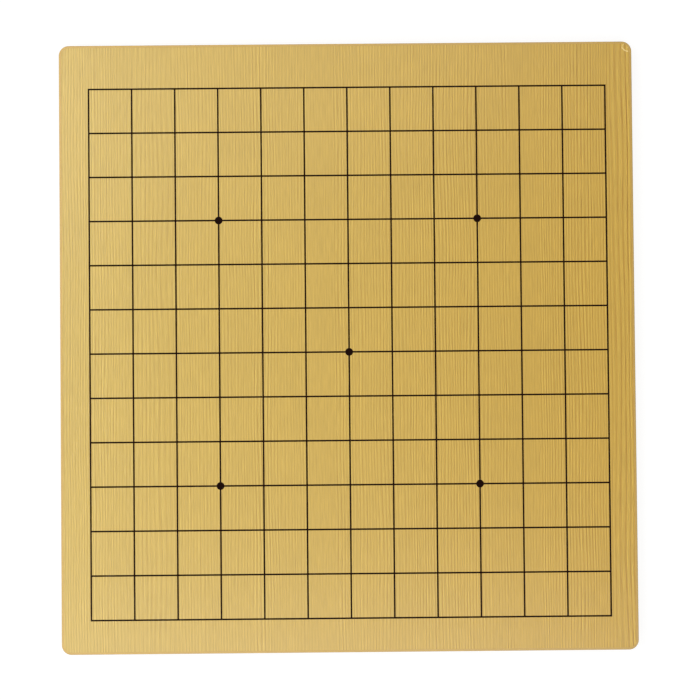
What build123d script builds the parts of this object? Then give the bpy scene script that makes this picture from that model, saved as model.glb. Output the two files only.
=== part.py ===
from build123d import *

import os

# A flat board for the game of weiqi: a fibreboard core, faced on both sides with wood-grain film and
# banded round its edge, with the lines of the game printed into each face. The front has the 13-line
# field and the reverse the 9-line one. Sizes are in millimetres. +Z points up out of the front face and
# +Y along the grain to the player's far side. The origin is under the middle of the board, at its base.

# Finished board; its width and length follow from the front field and its margins
board_thickness = 12.0
corner_radius = 5.0

# Face films, pressed onto the core
film_thickness = 0.4

# Edge band, one strip glued round the trimmed panel, with its two ends butted on the far side
band_thickness = 1.0
band_edge_round = 0.4
glue_thickness = 0.15
seam_gap = 0.12
seam_from_middle = 92.0

# Printed lines and points, flush with the film
print_depth = 0.12
line_width = 0.85
star_diameter = 4.0
cell_width = 22.0
cell_length = 22.55

# Front field, and what the press left bare outside its outer lines
front_lines = 13
front_star_cells = 6
left_margin = 15.15
right_margin = 13.85
near_margin = 17.25
far_margin = 22.45

# Reverse field, in the middle of its face, with the same cells
reverse_lines = 9
reverse_star_cells = 4

board_width = (front_lines - 1) * cell_width + left_margin + right_margin
board_length = (front_lines - 1) * cell_length + near_margin + far_margin

# The core and both films share one trimmed outline, inside the band and its glue
panel_inset = band_thickness + glue_thickness
core_thickness = board_thickness - 2 * film_thickness

reverse_print_plane = Plane.XY
front_film_plane = Plane.XY.offset(board_thickness - film_thickness)
front_print_plane = Plane(
    origin=(
        (left_margin - right_margin) / 2,
        (near_margin - far_margin) / 2,
        board_thickness - print_depth,
    )
)


def draw_outline(inset, mode=Mode.ADD):
    """Draws the board's rounded outline, drawn in by inset all round."""
    RectangleRounded(board_width - 2 * inset, board_length - 2 * inset, corner_radius - inset, mode=mode)


def draw_lines(lines):
    """Draws a square field of crossing lines: a solid field with its cells taken out."""
    field_width = (lines - 1) * cell_width
    field_length = (lines - 1) * cell_length
    Rectangle(field_width + line_width, field_length + line_width)
    with GridLocations(cell_width, cell_length, lines - 1, lines - 1):
        Rectangle(cell_width - line_width, cell_length - line_width, mode=Mode.SUBTRACT)


def draw_star_points(star_cells, mode=Mode.ADD):
    """Draws the middle point and the four outer ones, which stand star_cells cells apart."""
    Circle(star_diameter / 2, mode=mode)
    with GridLocations(star_cells * cell_width, star_cells * cell_length, 2, 2):
        Circle(star_diameter / 2, mode=mode)


os.makedirs("parts", exist_ok=True)

# Core: medium-density fibreboard, cut square and with its corners rounded
with BuildPart() as core_panel:
    with BuildSketch(Plane.XY.offset(film_thickness)):
        draw_outline(panel_inset)
    extrude(amount=core_thickness)
core_panel.part.label = "core_panel"
export_step(core_panel.part, "parts/core_panel.step")

# Front film, sunk along the 13-line field where the ink lies
with BuildPart() as front_film:
    with BuildSketch(front_film_plane):
        draw_outline(panel_inset)
    extrude(amount=film_thickness)
    with BuildSketch(front_print_plane):
        draw_lines(front_lines)
        draw_star_points(front_star_cells)
    extrude(amount=print_depth, mode=Mode.SUBTRACT)
front_film.part.label = "front_film"
export_step(front_film.part, "parts/front_film.step")

# Reverse film, sunk along the 9-line field
with BuildPart() as reverse_film:
    with BuildSketch(Plane.XY):
        draw_outline(panel_inset)
    extrude(amount=film_thickness)
    with BuildSketch(reverse_print_plane):
        draw_lines(reverse_lines)
        draw_star_points(reverse_star_cells)
    extrude(amount=print_depth, mode=Mode.SUBTRACT)
reverse_film.part.label = "reverse_film"
export_step(reverse_film.part, "parts/reverse_film.step")

# Glue line between the panel's edge and the band
with BuildPart() as edge_glue:
    with BuildSketch(Plane.XY):
        draw_outline(band_thickness)
        draw_outline(panel_inset, mode=Mode.SUBTRACT)
    extrude(amount=board_thickness)
edge_glue.part.label = "edge_glue"
export_step(edge_glue.part, "parts/edge_glue.step")

# Edge band: the outer rims are scraped round and the ends meet in a straight butt seam
with BuildPart() as edge_band:
    with BuildSketch(Plane.XY):
        draw_outline(0)
    extrude(amount=board_thickness)
    fillet(edge_band.faces().filter_by(Axis.Z).edges(), radius=band_edge_round)
    with BuildSketch(Plane.XY):
        draw_outline(band_thickness)
    extrude(amount=board_thickness, mode=Mode.SUBTRACT)
    with BuildSketch(Plane.XY):
        with Locations((seam_from_middle, board_length / 2)):
            Rectangle(seam_gap, 2 * band_thickness)
    extrude(amount=board_thickness, mode=Mode.SUBTRACT)
edge_band.part.label = "edge_band"
export_step(edge_band.part, "parts/edge_band.step")

# Front print: lines in one connected field, broken only by the star points
with BuildPart() as front_grid_lines:
    with BuildSketch(front_print_plane):
        draw_lines(front_lines)
        draw_star_points(front_star_cells, mode=Mode.SUBTRACT)
    extrude(amount=print_depth)
front_grid_lines.part.label = "front_grid_lines"
export_step(front_grid_lines.part, "parts/front_grid_lines.step")

with BuildPart() as front_star_points:
    with BuildSketch(front_print_plane):
        draw_star_points(front_star_cells)
    extrude(amount=print_depth)
front_star_points.part.label = "front_star_points"
export_step(front_star_points.part, "parts/front_star_points.step")

# Reverse print, made the same way
with BuildPart() as reverse_grid_lines:
    with BuildSketch(reverse_print_plane):
        draw_lines(reverse_lines)
        draw_star_points(reverse_star_cells, mode=Mode.SUBTRACT)
    extrude(amount=print_depth)
reverse_grid_lines.part.label = "reverse_grid_lines"
export_step(reverse_grid_lines.part, "parts/reverse_grid_lines.step")

with BuildPart() as reverse_star_points:
    with BuildSketch(reverse_print_plane):
        draw_star_points(reverse_star_cells)
    extrude(amount=print_depth)
reverse_star_points.part.label = "reverse_star_points"
export_step(reverse_star_points.part, "parts/reverse_star_points.step")
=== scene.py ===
import math

import bmesh
import bpy
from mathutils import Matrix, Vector


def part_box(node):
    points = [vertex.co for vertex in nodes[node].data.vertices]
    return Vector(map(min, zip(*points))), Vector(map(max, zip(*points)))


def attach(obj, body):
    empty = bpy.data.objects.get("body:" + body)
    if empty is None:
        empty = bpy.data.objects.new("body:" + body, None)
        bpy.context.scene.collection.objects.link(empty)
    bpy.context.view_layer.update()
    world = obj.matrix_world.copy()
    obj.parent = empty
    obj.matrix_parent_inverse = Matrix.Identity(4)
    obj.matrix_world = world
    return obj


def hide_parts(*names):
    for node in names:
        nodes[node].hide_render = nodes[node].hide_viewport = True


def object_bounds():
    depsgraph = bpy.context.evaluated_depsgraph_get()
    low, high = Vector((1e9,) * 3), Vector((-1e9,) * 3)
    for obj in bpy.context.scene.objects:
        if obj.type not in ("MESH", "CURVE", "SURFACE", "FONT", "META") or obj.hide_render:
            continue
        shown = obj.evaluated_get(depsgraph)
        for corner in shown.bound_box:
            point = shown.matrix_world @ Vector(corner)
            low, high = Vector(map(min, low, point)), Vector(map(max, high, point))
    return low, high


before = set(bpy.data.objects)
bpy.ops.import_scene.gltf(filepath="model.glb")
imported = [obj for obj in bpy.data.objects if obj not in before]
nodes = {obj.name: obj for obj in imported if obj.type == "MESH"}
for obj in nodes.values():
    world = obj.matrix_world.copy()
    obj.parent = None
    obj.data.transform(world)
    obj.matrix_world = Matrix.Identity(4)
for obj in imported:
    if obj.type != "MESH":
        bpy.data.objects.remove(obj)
cad_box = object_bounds()
bpy.ops.object.select_all(action="DESELECT")

# Camera: a long lens held almost straight above the board, a little towards the near side.
# Its place and turn are those from which the printed field lies as it does in the photograph.
camera_data = bpy.data.cameras.new("camera")
camera_data.sensor_width = 36.0
camera_data.lens = 102.9
camera = bpy.data.objects.new("camera", camera_data)
camera.location = (-0.00310, -0.02861, 1.03126)
camera.rotation_euler = (math.radians(1.517), math.radians(-0.222), math.radians(-0.521))
bpy.context.scene.collection.objects.link(camera)
bpy.context.scene.camera = camera

# Core: the panel inside, medium-density fibreboard sawn square and rounded at the corners.
# It is pressed from fine wood fibres, so its cut sides are a soft brown, flecked light and dark.
mm = 0.001
fibre_length = 1.2 * mm
fibre_clump = 0.5 * mm
saw_depth = 0.1 * mm


def add_node(tree, kind, inputs=None, stops=(), **settings):
    """Adds a shader node, sets it up, joins or fills its inputs and sets its colour ramp's stops.

    An input goes by its name, or by its number where inputs share a name, as in a Math node.
    """
    node = tree.nodes.new(kind)
    for name, value in settings.items():
        setattr(node, name, value)
    for socket, source in (inputs or {}).items():
        if isinstance(source, bpy.types.NodeSocket):
            tree.links.new(source, node.inputs[socket])
        else:
            node.inputs[socket].default_value = source
    for index, (position, colour) in enumerate(stops):
        ramp = node.color_ramp.elements
        stop = ramp[index] if index < len(ramp) else ramp.new(position)
        stop.position = position
        stop.color = colour
    return node


def linear(hex_colour):
    """An sRGB hex colour as the linear colour that a shader takes."""
    channels = [int(hex_colour[i:i + 2], 16) / 255 for i in (1, 3, 5)]
    return [c / 12.92 if c <= 0.04045 else ((c + 0.055) / 1.055) ** 2.4 for c in channels] + [1.0]


def new_material(name):
    """A material with an empty node tree."""
    material = bpy.data.materials.new(name)
    material.use_nodes = True
    material.node_tree.nodes.clear()
    return material


def finish_with(material, *names):
    """Gives the CAD nodes of these names this material in place of their own."""
    for name in names:
        nodes[name].data.materials.clear()
        nodes[name].data.materials.append(material)


# Sawn fibreboard: dull and a little rough, with no gloss to speak of
fibreboard = new_material("sawn_fibreboard")
tree = fibreboard.node_tree
place = add_node(tree, "ShaderNodeTexCoord").outputs["Object"]
fibres = add_node(
    tree,
    "ShaderNodeTexNoise",
    {"Vector": place, "Scale": 1 / fibre_length, "Detail": 4.0, "Distortion": 1.5},
)
clumps = add_node(tree, "ShaderNodeTexNoise", {"Vector": place, "Scale": 1 / fibre_clump, "Detail": 2.0})
fleck = add_node(
    tree, "ShaderNodeMath", {0: fibres.outputs["Fac"], 1: clumps.outputs["Fac"]}, operation="MULTIPLY"
).outputs[0]
brown = add_node(
    tree,
    "ShaderNodeValToRGB",
    {"Fac": fleck},
    stops=((0.12, linear("#7A5A38")), (0.40, linear("#B8935F"))),
)
relief = add_node(tree, "ShaderNodeBump", {"Height": fleck, "Strength": 0.6, "Distance": saw_depth})
sawn = add_node(
    tree,
    "ShaderNodeBsdfPrincipled",
    {"Base Color": brown.outputs[0], "Roughness": 0.85, "IOR": 1.5, "Normal": relief.outputs[0]},
)
add_node(tree, "ShaderNodeOutputMaterial", {"Surface": sawn.outputs[0]})
finish_with(fibreboard, "core_panel")

# Face films: PVC printed with quarter-sawn softwood, pressed on both sides of the core with glue.
# The rings run straight along the board, about 1.6 mm apart, as in a fine-grown plank. They lean and
# waver a little, and are wider, finer, stronger or fainter from strip to strip, with short strokes between.
film = new_material("embossed_pvc_wood_grain_film")
tree = film.node_tree

# The print's sizes are in millimetres, and so are the places on the board that it is worked out for
place = add_node(tree, "ShaderNodeTexCoord").outputs["Object"]
place_mm = add_node(tree, "ShaderNodeVectorMath", {0: place, "Scale": 1 / mm}, operation="SCALE").outputs[0]
across = add_node(tree, "ShaderNodeSeparateXYZ", {"Vector": place_mm}).outputs["X"]
half_width = cad_box[1][0] / mm

# What wavers in the print: its reach across and along the grain, and its finer octaves. An embossed pore
# is a tenth of a millimetre wide, too fine to show, so pores are drawn five times as wide. Each pattern is
# read a few reaches away from the one before, so that no two are alike.
print_reaches = {
    "lean": (16.0, 70.0, 0.0),
    "spacing": (10.0, 900.0, 0.0),
    "wobble": (5.0, 40.0, 0.0),
    "fade": (2.5, 20.0, 1.0),
    "streak": (0.6, 10.0, 1.0),
    "tone": (7.0, 160.0, 1.0),
    "mottle": (22.0, 40.0, 1.0),
    "pores": (0.5, 6.0, 1.0),
    "strokes": (3.0, 4.0, 0.0),
}
print_step = (7.3, 3.1, 0.0)


def wavering(tree, place_mm, reaches, octaves, away, **settings):
    """Noise drawn out to these reaches along X, Y and Z, and read this far away, counted in reaches."""
    drawn_out = add_node(
        tree,
        "ShaderNodeVectorMath",
        {0: place_mm, 1: [1 / reach for reach in reaches], 2: away},
        operation="MULTIPLY_ADD",
    )
    noise = add_node(
        tree,
        "ShaderNodeTexNoise",
        {"Vector": drawn_out.outputs[0], "Scale": 1.0, "Detail": octaves},
        **settings,
    )
    return noise.outputs["Fac"]


print_noise = {}
for order, (name, (reach_across, reach_along, octaves)) in enumerate(print_reaches.items()):
    away = [order * step for step in print_step]
    print_noise[name] = wavering(
        tree, place_mm, (reach_across, reach_along, 1.0), octaves, away, noise_dimensions="2D"
    )

# Where the grain falls: leaning and wobbling throw it to the side. The rings are also thrown as they are a
# little wider or finer themselves, and by the strips whose rings are all wider or finer: where each of
# those begins and ends, and what it adds to the spacing.
ring_spacing = 1.59
grain_throws = {"lean": 1.8, "wobble": 0.3}
spacing_throw = 1.9
ring_strips = ((-147.0, -130.0, -0.2), (-110.0, -87.0, 0.75), (92.0, 111.0, -0.22), (136.0, 147.0, 0.6))
grain_place = across
for name, throw in grain_throws.items():
    grain_place = add_node(
        tree, "ShaderNodeMath", {0: print_noise[name], 1: throw, 2: grain_place}, operation="MULTIPLY_ADD"
    ).outputs[0]
ring_place = add_node(
    tree,
    "ShaderNodeMath",
    {0: print_noise["spacing"], 1: spacing_throw, 2: grain_place},
    operation="MULTIPLY_ADD",
).outputs[0]
for begins, ends, added in ring_strips:
    lost = (ends - begins) * added / (ring_spacing + added)
    shift = add_node(
        tree,
        "ShaderNodeMapRange",
        {"Value": across, "From Min": begins, "From Max": ends, "To Min": 0.0, "To Max": -lost},
    )
    ring_place = add_node(tree, "ShaderNodeMath", {0: ring_place, 1: shift.outputs[0]}).outputs[0]
ring_count = add_node(tree, "ShaderNodeMath", {0: ring_place, 1: ring_spacing}, operation="DIVIDE").outputs[0]

# How dark a ring is at each share of its width: its latewood darkens slowly and ends faster
ring_profile = ((0.0, 0.0), (0.30, 0.10), (0.66, 1.0), (0.80, 0.75), (1.0, 0.0))
mean_darkness = 0.41


def latewood(tree, ring_count):
    """How dark the rings are here, as they are counted across the grain."""
    ring_part = add_node(tree, "ShaderNodeMath", {0: ring_count}, operation="FRACT").outputs[0]
    stops = [(share, (darkness, darkness, darkness, 1.0)) for share, darkness in ring_profile]
    profile = add_node(tree, "ShaderNodeValToRGB", {"Fac": ring_part}, stops)
    profile.color_ramp.interpolation = "EASE"
    return profile.outputs[0]


# How strong the rings are. Each has a strength of its own and fades in and out along the grain.
weakest_ring = 0.55
strongest_ring = 0.92
faded_strength = 0.4
ring_number = add_node(tree, "ShaderNodeMath", {0: ring_count}, operation="FLOOR").outputs[0]
own = add_node(tree, "ShaderNodeTexWhiteNoise", {"W": ring_number}, noise_dimensions="1D")
own_strength = add_node(
    tree,
    "ShaderNodeMapRange",
    {"Value": own.outputs["Value"], "To Min": weakest_ring, "To Max": strongest_ring},
).outputs[0]
fade = add_node(
    tree,
    "ShaderNodeMapRange",
    {
        "Value": print_noise["fade"],
        "From Min": 0.38,
        "From Max": 0.60,
        "To Min": faded_strength,
        "To Max": 1.0,
    },
).outputs[0]

# Some strips are fainter, and the one at the right edge is stronger: the middle of each, how far it reaches
# to both sides, and its strength, which it has in full over the inner share of its reach
uneven_strips = (
    (-145.0, 6.0, 0.75),
    (-119.0, 16.0, 0.9),
    (-112.0, 7.0, 0.6),
    (-97.0, 12.0, 0.7),
    (-88.0, 8.0, 0.7),
    (-65.0, 20.0, 0.65),
    (-27.0, 12.0, 0.6),
    (-13.0, 8.0, 0.2),
    (10.0, 10.0, 0.75),
    (26.0, 6.0, 0.6),
    (74.0, 6.0, 0.6),
    (90.0, 9.0, 0.3),
    (131.0, 6.0, 0.85),
    (138.0, 6.0, 0.75),
    (144.0, 5.0, 1.4),
)
inner_share = 0.6
strip_strength = 1.0
for middle, reach, strength in uneven_strips:
    offset = add_node(tree, "ShaderNodeMath", {0: across, 1: middle}, operation="SUBTRACT")
    off_middle = add_node(tree, "ShaderNodeMath", {0: offset.outputs[0]}, operation="ABSOLUTE")
    uneven = add_node(
        tree,
        "ShaderNodeMapRange",
        {
            "Value": off_middle.outputs[0],
            "From Min": inner_share * reach,
            "From Max": reach,
            "To Min": strength,
            "To Max": 1.0,
        },
        interpolation_type="SMOOTHSTEP",
    )
    strip_strength = add_node(
        tree, "ShaderNodeMath", {0: strip_strength, 1: uneven.outputs[0]}, operation="MULTIPLY"
    ).outputs[0]

# Darkness counts from the rings' mean, so that faint rings fade into the print's middle tone
ring_dark = add_node(
    tree, "ShaderNodeMath", {0: latewood(tree, ring_count), 1: mean_darkness}, operation="SUBTRACT"
).outputs[0]
for strength in (own_strength, fade, strip_strength):
    ring_dark = add_node(tree, "ShaderNodeMath", {0: ring_dark, 1: strength}, operation="MULTIPLY").outputs[0]
ring_dark = add_node(tree, "ShaderNodeMath", {0: ring_dark, 1: mean_darkness}).outputs[0]

# The print's colours, earlywood and latewood: painted a little paler at the left edge than at the right,
# as painted light from the left
wood_colours = (("#D5B960", "#CDA946"), ("#B18E40", "#A87D26"))
painted_light_drift = add_node(
    tree, "ShaderNodeMapRange", {"Value": across, "From Min": -half_width, "From Max": half_width}
).outputs[0]
pale_wood, dark_wood = [
    add_node(
        tree, "ShaderNodeValToRGB", {"Fac": painted_light_drift}, stops=((0.0, linear(left)), (1.0, linear(right)))
    ).outputs[0]
    for left, right in wood_colours
]
printed = add_node(
    tree, "ShaderNodeMix", {"Factor": ring_dark, "A": pale_wood, "B": dark_wood}, data_type="RGBA"
).outputs["Result"]


def shaded(tree, colour, noise, shade):
    """The colour made darker and lighter by up to this shade, as the noise goes."""
    brightness = add_node(
        tree,
        "ShaderNodeMapRange",
        {"Value": noise, "From Min": 0.25, "From Max": 0.75, "To Min": 1 - shade, "To Max": 1 + shade},
    )
    return add_node(
        tree, "ShaderNodeVectorMath", {0: colour, "Scale": brightness.outputs[0]}, operation="SCALE"
    ).outputs[0]


for name, shade in (("streak", 0.06), ("tone", 0.01), ("mottle", 0.015)):
    printed = shaded(tree, printed, print_noise[name], shade)

# Strokes of single wood fibres lie between the rings and come and go along the grain. Real ones are a few
# hundredths of a millimetre wide, too fine to show, so they are drawn more than a millimetre apart.
stroke_spacing = 1.15
stroke_shade = 0.12
stroke_strength = add_node(
    tree, "ShaderNodeMath", {0: strip_strength, 1: stroke_shade}, operation="MULTIPLY"
).outputs[0]
turn = add_node(tree, "ShaderNodeMath", {0: grain_place, 1: math.tau / stroke_spacing}, operation="MULTIPLY")
wave = add_node(tree, "ShaderNodeMath", {0: turn.outputs[0]}, operation="SINE")
come_and_go = add_node(
    tree,
    "ShaderNodeMapRange",
    {
        "Value": print_noise["strokes"],
        "From Min": 0.42,
        "From Max": 0.62,
        "To Min": 0.0,
        "To Max": stroke_strength,
    },
)
strokes = add_node(
    tree,
    "ShaderNodeMath",
    {0: wave.outputs[0], 1: come_and_go.outputs[0], 2: 1.0},
    operation="MULTIPLY_ADD",
)
printed = add_node(
    tree, "ShaderNodeVectorMath", {0: printed, "Scale": strokes.outputs[0]}, operation="SCALE"
).outputs[0]

# Painted highlight: along the dents at the front film's corner the print is painted pale, standing in for the
# glint on each dent's lit wall. The dented film carries how strong it is, as an attribute of its own.
painted_highlight_colour = "#F4DA94"
painted_highlight = add_node(tree, "ShaderNodeAttribute", attribute_name="painted_highlight").outputs["Fac"]
printed = add_node(
    tree, "ShaderNodeMix", {"Factor": painted_highlight, "A": printed, "B": linear(painted_highlight_colour)}, data_type="RGBA"
).outputs["Result"]

# Satin PVC, pressed between embossed plates: a soft gleam, broken up by fine pores along the grain
pore_depth = 0.06 * mm
pore_roughness = 0.27
smooth_roughness = 0.21
gleam = add_node(
    tree,
    "ShaderNodeMapRange",
    {
        "Value": print_noise["pores"],
        "From Min": 0.3,
        "From Max": 0.7,
        "To Min": pore_roughness,
        "To Max": smooth_roughness,
    },
)
emboss = add_node(
    tree, "ShaderNodeBump", {"Height": print_noise["pores"], "Strength": 0.5, "Distance": pore_depth}
)
satin = add_node(
    tree,
    "ShaderNodeBsdfPrincipled",
    {"Base Color": printed, "Roughness": gleam.outputs[0], "IOR": 1.5, "Normal": emboss.outputs[0]},
)
add_node(tree, "ShaderNodeOutputMaterial", {"Surface": satin.outputs[0]})
finish_with(film, "reverse_film")

# The front film took a knock at its far right corner: a dent hooks round the corner's tip, with a small
# ripple inside it, and a painted highlight lies along both. Each dent runs round the tip: its radius at the
# start and at the end, its angle at both, its depth and reach, and how strong the painted highlight is on its
# line.
dents = (
    (4.15 * mm, 4.05 * mm, 207, 263, 0.09 * mm, 0.55 * mm, 0.9),
    (2.55 * mm, 4.05 * mm, 180, 207, 0.06 * mm, 0.45 * mm, 0.6),
    (2.20 * mm, 2.20 * mm, 240, 262, 0.03 * mm, 0.35 * mm, 0.2),
)
dent_patch = 7.0 * mm
dent_grid = 0.1 * mm
on_line = 0.6 * dent_grid
highlight_reach = 0.45 * mm
flat_within = 0.01 * mm
film_low, film_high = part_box("front_film")
half_film = (film_high.z - film_low.z) / 2
tip = Vector((film_high.x, film_high.y, film_high.z))
front_face = bpy.data.objects.new("front_face_film", nodes["front_film"].data.copy())
bpy.context.scene.collection.objects.link(front_face)
bpy.context.view_layer.objects.active = front_face
front_face.select_set(True)


def select_patch(cut_off):
    """Selects the top faces that reach into the corner patch, or once it is cut off, those inside it."""
    bpy.ops.mesh.select_all(action="DESELECT")
    mesh = bmesh.from_edit_mesh(front_face.data)
    for face in mesh.faces:
        outermost = face.calc_center_median()
        if not cut_off:
            outermost.x = max(vertex.co.x for vertex in face.verts)
            outermost.y = max(vertex.co.y for vertex in face.verts)
        inside = outermost.x > tip.x - dent_patch and outermost.y > tip.y - dent_patch
        on_top = face.normal.z > 0.9 and outermost.z > tip.z - flat_within
        if inside and on_top:
            face.select_set(True)
    bmesh.update_edit_mesh(front_face.data)


# The film's triangles are merged back into whole faces. The patch is cut off and divided by a fine grid.
bpy.ops.object.mode_set(mode="EDIT")
bpy.ops.mesh.customdata_custom_splitnormals_clear()
bpy.ops.mesh.select_all(action="SELECT")
bpy.ops.mesh.remove_doubles(threshold=flat_within)
bpy.ops.mesh.dissolve_limited(angle_limit=math.radians(1.0))
for normal in ((1, 0, 0), (0, 1, 0)):
    select_patch(cut_off=False)
    bpy.ops.mesh.bisect(plane_co=tip - Vector((dent_patch, dent_patch, 0)), plane_no=normal)
for normal in ((1, 0, 0), (0, 1, 0)):
    for cut in range(1, round(dent_patch / dent_grid)):
        select_patch(cut_off=True)
        inset = dent_patch - cut * dent_grid
        bpy.ops.mesh.bisect(plane_co=tip - Vector((inset, inset, 0)), plane_no=normal)

# The grid points on each dent's line are pressed in and take the film round them along
bmesh.from_edit_mesh(front_face.data).verts.layers.float.new("painted_highlight")
for start_radius, end_radius, start, end, depth, reach, highlight_strength in dents:
    bpy.ops.mesh.select_all(action="DESELECT")
    bpy.ops.mesh.select_mode(type="VERT")
    mesh = bmesh.from_edit_mesh(front_face.data)
    painted_highlight_layer = mesh.verts.layers.float["painted_highlight"]
    for vertex in mesh.verts:
        spoke = vertex.co - tip
        angle = math.degrees(math.atan2(spoke.y, spoke.x)) % 360
        if abs(spoke.z) > half_film or not start <= angle <= end:
            continue
        radius = start_radius + (end_radius - start_radius) * (angle - start) / (end - start)
        off_line = abs(spoke.xy.length - radius)
        # Painted highlight: the points near the dent's line are painted pale, fading out over the highlight's
        # reach
        vertex[painted_highlight_layer] = max(vertex[painted_highlight_layer], highlight_strength * (1 - off_line / highlight_reach))
        if off_line < on_line:
            vertex.select_set(True)
    bmesh.update_edit_mesh(front_face.data)
    bpy.ops.transform.translate(
        value=(0, 0, -depth),
        use_proportional_edit=True,
        proportional_edit_falloff="SMOOTH",
        proportional_size=reach,
    )
bpy.ops.object.mode_set(mode="OBJECT")
bpy.ops.object.shade_smooth_by_angle(angle=math.radians(50))
front_face.data.materials.clear()
front_face.data.materials.append(film)
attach(front_face, "root")
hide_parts("front_film")
bpy.ops.object.select_all(action="DESELECT")

# Glue line: hot-melt glue squeezed to a thin film between the panel's sawn edge and the band.
# Once trimmed flush it shows as a fine amber line, a little darker than the film and the band beside it.
glue_swirl = 4.0 * mm
glue = new_material("trimmed_hot_melt_glue")
tree = glue.node_tree
place = add_node(tree, "ShaderNodeTexCoord").outputs["Object"]
swirl = add_node(tree, "ShaderNodeTexNoise", {"Vector": place, "Scale": 1 / glue_swirl, "Detail": 3.0})
amber = add_node(
    tree,
    "ShaderNodeValToRGB",
    {"Fac": swirl.outputs["Fac"]},
    stops=((0.3, linear("#A98441")), (0.7, linear("#BF994F"))),
)
cured = add_node(
    tree, "ShaderNodeBsdfPrincipled", {"Base Color": amber.outputs[0], "Roughness": 0.28, "IOR": 1.48}
)
add_node(tree, "ShaderNodeOutputMaterial", {"Surface": cured.outputs[0]})
finish_with(glue, "edge_glue")

# Edge band: one extruded PVC strip glued round the edge, with its outer face printed to match the film and
# its rings along its length, so they lie level here. Both rims are scraped round after gluing. There and on
# the trimmed top the plastic itself shows, buffed to nearly the gleam of the film.
band = new_material("printed_pvc_edge_band")
tree = band.node_tree
place = add_node(tree, "ShaderNodeTexCoord").outputs["Object"]
place_mm = add_node(tree, "ShaderNodeVectorMath", {0: place, "Scale": 1 / mm}, operation="SCALE").outputs[0]
split = add_node(tree, "ShaderNodeSeparateXYZ", {"Vector": place_mm})
height = split.outputs["Z"]

# What wavers in the band, as in the film: its reach along the band and up it
band_reaches = {"sway": (60.0, 5.0), "fade": (30.0, 1.6), "streak": (24.0, 0.5), "scrape": (0.5, 0.5)}
band_step = 5.3
band_octaves = 1.0
band_noise = {}
for order, (name, (reach_along, reach_up)) in enumerate(band_reaches.items()):
    away = (0.0, 0.0, order * band_step)
    band_noise[name] = wavering(tree, place_mm, (reach_along, reach_along, reach_up), band_octaves, away)

# The band's print: rings 1.5 mm apart that sway up and down and fade in places, with fine streaks
band_ring = 1.5
sway_throw = 3.0
faded_ring = 0.2
streak_shade = 0.10
swayed = add_node(
    tree, "ShaderNodeMath", {0: band_noise["sway"], 1: sway_throw, 2: height}, operation="MULTIPLY_ADD"
)
ring_count = add_node(
    tree, "ShaderNodeMath", {0: swayed.outputs[0], 1: band_ring}, operation="DIVIDE"
).outputs[0]
fade = add_node(
    tree,
    "ShaderNodeMapRange",
    {"Value": band_noise["fade"], "From Min": 0.35, "From Max": 0.65, "To Min": faded_ring, "To Max": 1.0},
).outputs[0]
ring_dark = add_node(
    tree, "ShaderNodeMath", {0: latewood(tree, ring_count), 1: fade}, operation="MULTIPLY"
).outputs[0]
printed = add_node(
    tree,
    "ShaderNodeMix",
    {"Factor": ring_dark, "A": linear("#D1B153"), "B": linear("#AD8633")},
    data_type="RGBA",
).outputs["Result"]
printed = shaded(tree, printed, band_noise["streak"], streak_shade)

# The plastic's tone is painted paler at the left and darker at the right, as the film's is: painted light
# from the left
painted_light_left = 1.05
painted_shade_right = 0.89
plastic = add_node(
    tree,
    "ShaderNodeValToRGB",
    {"Fac": band_noise["scrape"]},
    stops=((0.3, linear("#BD9846")), (0.7, linear("#C8A34F"))),
)
painted_light_drift = add_node(
    tree,
    "ShaderNodeMapRange",
    {
        "Value": split.outputs["X"],
        "From Min": -half_width,
        "From Max": half_width,
        "To Min": painted_light_left,
        "To Max": painted_shade_right,
    },
)
plastic = add_node(
    tree, "ShaderNodeVectorMath", {0: plastic.outputs[0], "Scale": painted_light_drift.outputs[0]}, operation="SCALE"
).outputs[0]

# The print covers the outer face only, up to where the scraper took it off
rim_round = 0.4
print_fringe = 0.05
print_roughness = 0.42
buffed_roughness = 0.28
scrape_depth = 0.02 * mm
band_low, band_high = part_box("edge_band")
middle = (band_low.z + band_high.z) / 2 / mm
print_end = (band_high.z - band_low.z) / 2 / mm - rim_round
offset = add_node(tree, "ShaderNodeMath", {0: height, 1: middle}, operation="SUBTRACT")
off_middle = add_node(tree, "ShaderNodeMath", {0: offset.outputs[0]}, operation="ABSOLUTE")
scraped = add_node(
    tree,
    "ShaderNodeMapRange",
    {"Value": off_middle.outputs[0], "From Min": print_end, "From Max": print_end + print_fringe},
).outputs[0]
colour = add_node(
    tree, "ShaderNodeMix", {"Factor": scraped, "A": printed, "B": plastic}, data_type="RGBA"
).outputs["Result"]
buffing = add_node(
    tree, "ShaderNodeMapRange", {"Value": scraped, "To Min": print_roughness, "To Max": buffed_roughness}
)
marks = add_node(
    tree, "ShaderNodeBump", {"Height": band_noise["scrape"], "Strength": 0.3, "Distance": scrape_depth}
)
strip = add_node(
    tree,
    "ShaderNodeBsdfPrincipled",
    {"Base Color": colour, "Roughness": buffing.outputs[0], "IOR": 1.53, "Normal": marks.outputs[0]},
)
add_node(tree, "ShaderNodeOutputMaterial", {"Surface": strip.outputs[0]})
finish_with(band, "edge_band")

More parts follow.
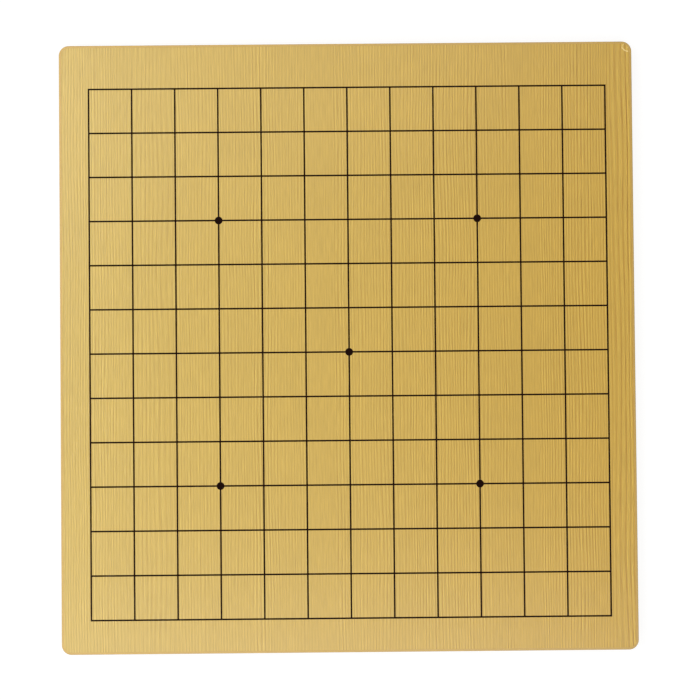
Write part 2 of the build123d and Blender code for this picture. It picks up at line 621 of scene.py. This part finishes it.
# Lines and star points: brown-black ink screen-printed on both faces and pressed in flush with them.
# It dries dead matt, so it stays dark where the film gleams. Its body is a little uneven, as it is drawn
# through a mesh of threads 0.12 mm apart: too fine to show, so their marks are drawn four times as coarse.
mesh_mark = 0.5 * mm
mark_depth = 0.01 * mm
mark_share = 0.5
ink_flow = 1.5 * mm
ink = new_material("screen_printed_matt_ink")
tree = ink.node_tree
place = add_node(tree, "ShaderNodeTexCoord").outputs["Object"]
flow = add_node(
    tree, "ShaderNodeTexNoise", {"Vector": place, "Scale": 1 / ink_flow, "Detail": 3.0}
).outputs["Fac"]
weave = add_node(
    tree, "ShaderNodeTexNoise", {"Vector": place, "Scale": 1 / mesh_mark, "Detail": 0.0}
).outputs["Fac"]
body = add_node(tree, "ShaderNodeMix", {"Factor": mark_share, "A": flow, "B": weave})
black = add_node(
    tree,
    "ShaderNodeValToRGB",
    {"Fac": body.outputs["Result"]},
    stops=((0.3, linear("#120603")), (0.7, linear("#1C0B06"))),
)
tooth = add_node(tree, "ShaderNodeBump", {"Height": weave, "Strength": 0.3, "Distance": mark_depth})
matt = add_node(
    tree,
    "ShaderNodeBsdfPrincipled",
    {
        "Base Color": black.outputs[0],
        "Roughness": 0.9,
        "IOR": 1.5,
        "Specular IOR Level": 0.05,
        "Normal": tooth.outputs[0],
    },
)
add_node(tree, "ShaderNodeOutputMaterial", {"Surface": matt.outputs[0]})
finish_with(ink, "front_grid_lines", "front_star_points", "reverse_grid_lines", "reverse_star_points")

# Studio light: a softbox over the near side, one over the left and a weak one over the far side, and an
# even pale room round the rest. Each stands just outside the place where the film would mirror it, so its
# gleam pales the film towards that side. The room looks white behind the board and in its gloss.
softboxes = (
    ("near_softbox", (0.00, -0.64, 1.16), 0.8, 6.6),
    ("left_softbox", (-0.75, 0.05, 1.12), 0.9, 7.3),
    ("far_softbox", (-0.13, 0.51, 0.83), 0.75, 1.7),
)
room_strength = 0.36
white = linear("#FFFFFF")


def sees_white(tree):
    """1 for the rays of the camera, of gloss and of glass, which see the background white, else 0."""
    ray = add_node(tree, "ShaderNodeLightPath")
    sees = ray.outputs["Is Camera Ray"]
    for kind in ("Is Glossy Ray", "Is Transmission Ray"):
        sees = add_node(
            tree, "ShaderNodeMath", {0: sees, 1: ray.outputs[kind]}, operation="MAXIMUM"
        ).outputs[0]
    return sees


for name, stands_at, side, power in softboxes:
    softbox_data = bpy.data.lights.new(name, "AREA")
    softbox_data.size = side
    softbox_data.energy = power
    softbox = bpy.data.objects.new(name, softbox_data)
    softbox.location = stands_at
    softbox.rotation_euler = (-Vector(stands_at)).to_track_quat("-Z", "Y").to_euler()
    bpy.context.scene.collection.objects.link(softbox)
world = bpy.data.worlds.new("pale_room")
world.use_nodes = True
tree = world.node_tree
tree.nodes.clear()
room_light = add_node(tree, "ShaderNodeBackground", {"Color": white, "Strength": room_strength})
backdrop = add_node(tree, "ShaderNodeBackground", {"Color": white, "Strength": 1.0})
room = add_node(
    tree, "ShaderNodeMixShader", {0: sees_white(tree), 1: room_light.outputs[0], 2: backdrop.outputs[0]}
)
add_node(tree, "ShaderNodeOutputWorld", {"Surface": room.outputs[0]})
bpy.context.scene.world = world

# Floor: a plain white sweep that the board lies on, which keeps the board's faint shadow. It is clear
# from below, so that the reverse face can be looked at too, and a hair lower than that face, since two
# surfaces in one plane would show through each other.
sweep_side = 8.0
floor_gap = 0.2 * mm
glow_strength = 0.85
bpy.ops.mesh.primitive_plane_add(size=sweep_side, location=(0.0, 0.0, -floor_gap))
floor = bpy.context.active_object
floor.name = "floor"

# It shows in the board's gloss, but throws neither light nor shadow on the board
floor.visible_diffuse = False
floor.visible_shadow = False
sweep = new_material("white_sweep")
tree = sweep.node_tree
paper = add_node(tree, "ShaderNodeBsdfDiffuse", {"Color": linear("#7A7A7A")})
brightness = add_node(
    tree, "ShaderNodeMath", {0: sees_white(tree), 1: glow_strength}, operation="MULTIPLY"
).outputs[0]
glow = add_node(tree, "ShaderNodeEmission", {"Color": white, "Strength": brightness})
lit = add_node(tree, "ShaderNodeAddShader", {0: paper.outputs[0], 1: glow.outputs[0]})
clear = add_node(tree, "ShaderNodeBsdfTransparent")
underneath = add_node(tree, "ShaderNodeNewGeometry").outputs["Backfacing"]
sheet = add_node(tree, "ShaderNodeMixShader", {0: underneath, 1: lit.outputs[0], 2: clear.outputs[0]})
add_node(tree, "ShaderNodeOutputMaterial", {"Surface": sheet.outputs[0]})
floor.data.materials.append(sweep)

bpy.context.scene.view_settings.view_transform = "Standard"
